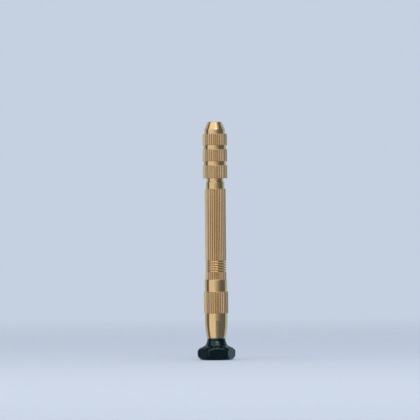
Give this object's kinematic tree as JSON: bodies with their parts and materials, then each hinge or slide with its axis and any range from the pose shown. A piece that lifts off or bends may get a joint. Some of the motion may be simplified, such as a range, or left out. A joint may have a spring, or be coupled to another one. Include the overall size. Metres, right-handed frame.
{
  "type": "pin vise drill",
  "caption": "Brass hand drill that holds tiny twist drills in a split collet closed by a knurled nut, with a screw-off storage handle and a swivel palm knob.",
  "frame": {"origin": "centre of the swivel knob's end face, on the surface that the tool stands on", "axes": "+Z along the tool's axis towards the drill's nose; +X through two opposite corners of the hexagonal knob"},
  "size_m": [0.016, 0.014, 0.1],
  "materials": {
    "brass": "turned, chemically polished against tarnish",
    "collet_steel": "hardened steel, brass plated",
    "screw_steel": "turned, lightly oiled",
    "knob_plastic": "moulded black plastic, semi-gloss",
    "cap_plastic": "moulded black plastic, satin"
  },
  "bodies": {
    "front_body": {"front_body": "brass"},
    "working_collet": {"working_collet": "collet_steel"},
    "chuck_nut": {"chuck_nut": "brass"},
    "spare_collet": {"spare_collet": "collet_steel"},
    "handle": {"handle_sleeve": "brass", "pivot_screw": "screw_steel", "thrust_washer": "screw_steel", "head_washer": "screw_steel"},
    "knob": {"swivel_knob": "knob_plastic", "knob_bush": "brass", "palm_cap": "cap_plastic"}
  },
  "joints": [
    {"name": "collet_feed", "type": "slide", "parent": "front_body", "child": "working_collet", "axis": [0, 0, 1], "range_m": [0, 0.0042]},
    {"name": "nut_turn", "type": "hinge", "parent": "working_collet", "child": "chuck_nut", "pos_m": [0, 0, 0.085], "axis": [0, 0, 1], "range_deg": [0, 1980]},
    {"name": "handle_feed", "type": "slide", "parent": "front_body", "child": "spare_collet", "axis": [0, 0, -1], "range_m": [0, 0.0042]},
    {"name": "handle_turn", "type": "hinge", "parent": "spare_collet", "child": "handle", "pos_m": [0, 0, 0.03], "axis": [0, 0, -1], "range_deg": [0, 1980]},
    {"name": "knob_swivel", "type": "hinge", "parent": "handle", "child": "knob", "pos_m": [0, 0, 0.005], "axis": [0, 0, 1], "continuous": true}
  ],
  "couplings": [
    {"joint": "collet_feed", "follows": "nut_turn", "m_per_rad": 0.00011937},
    {"joint": "handle_feed", "follows": "handle_turn", "m_per_rad": 0.00011937}
  ]
}
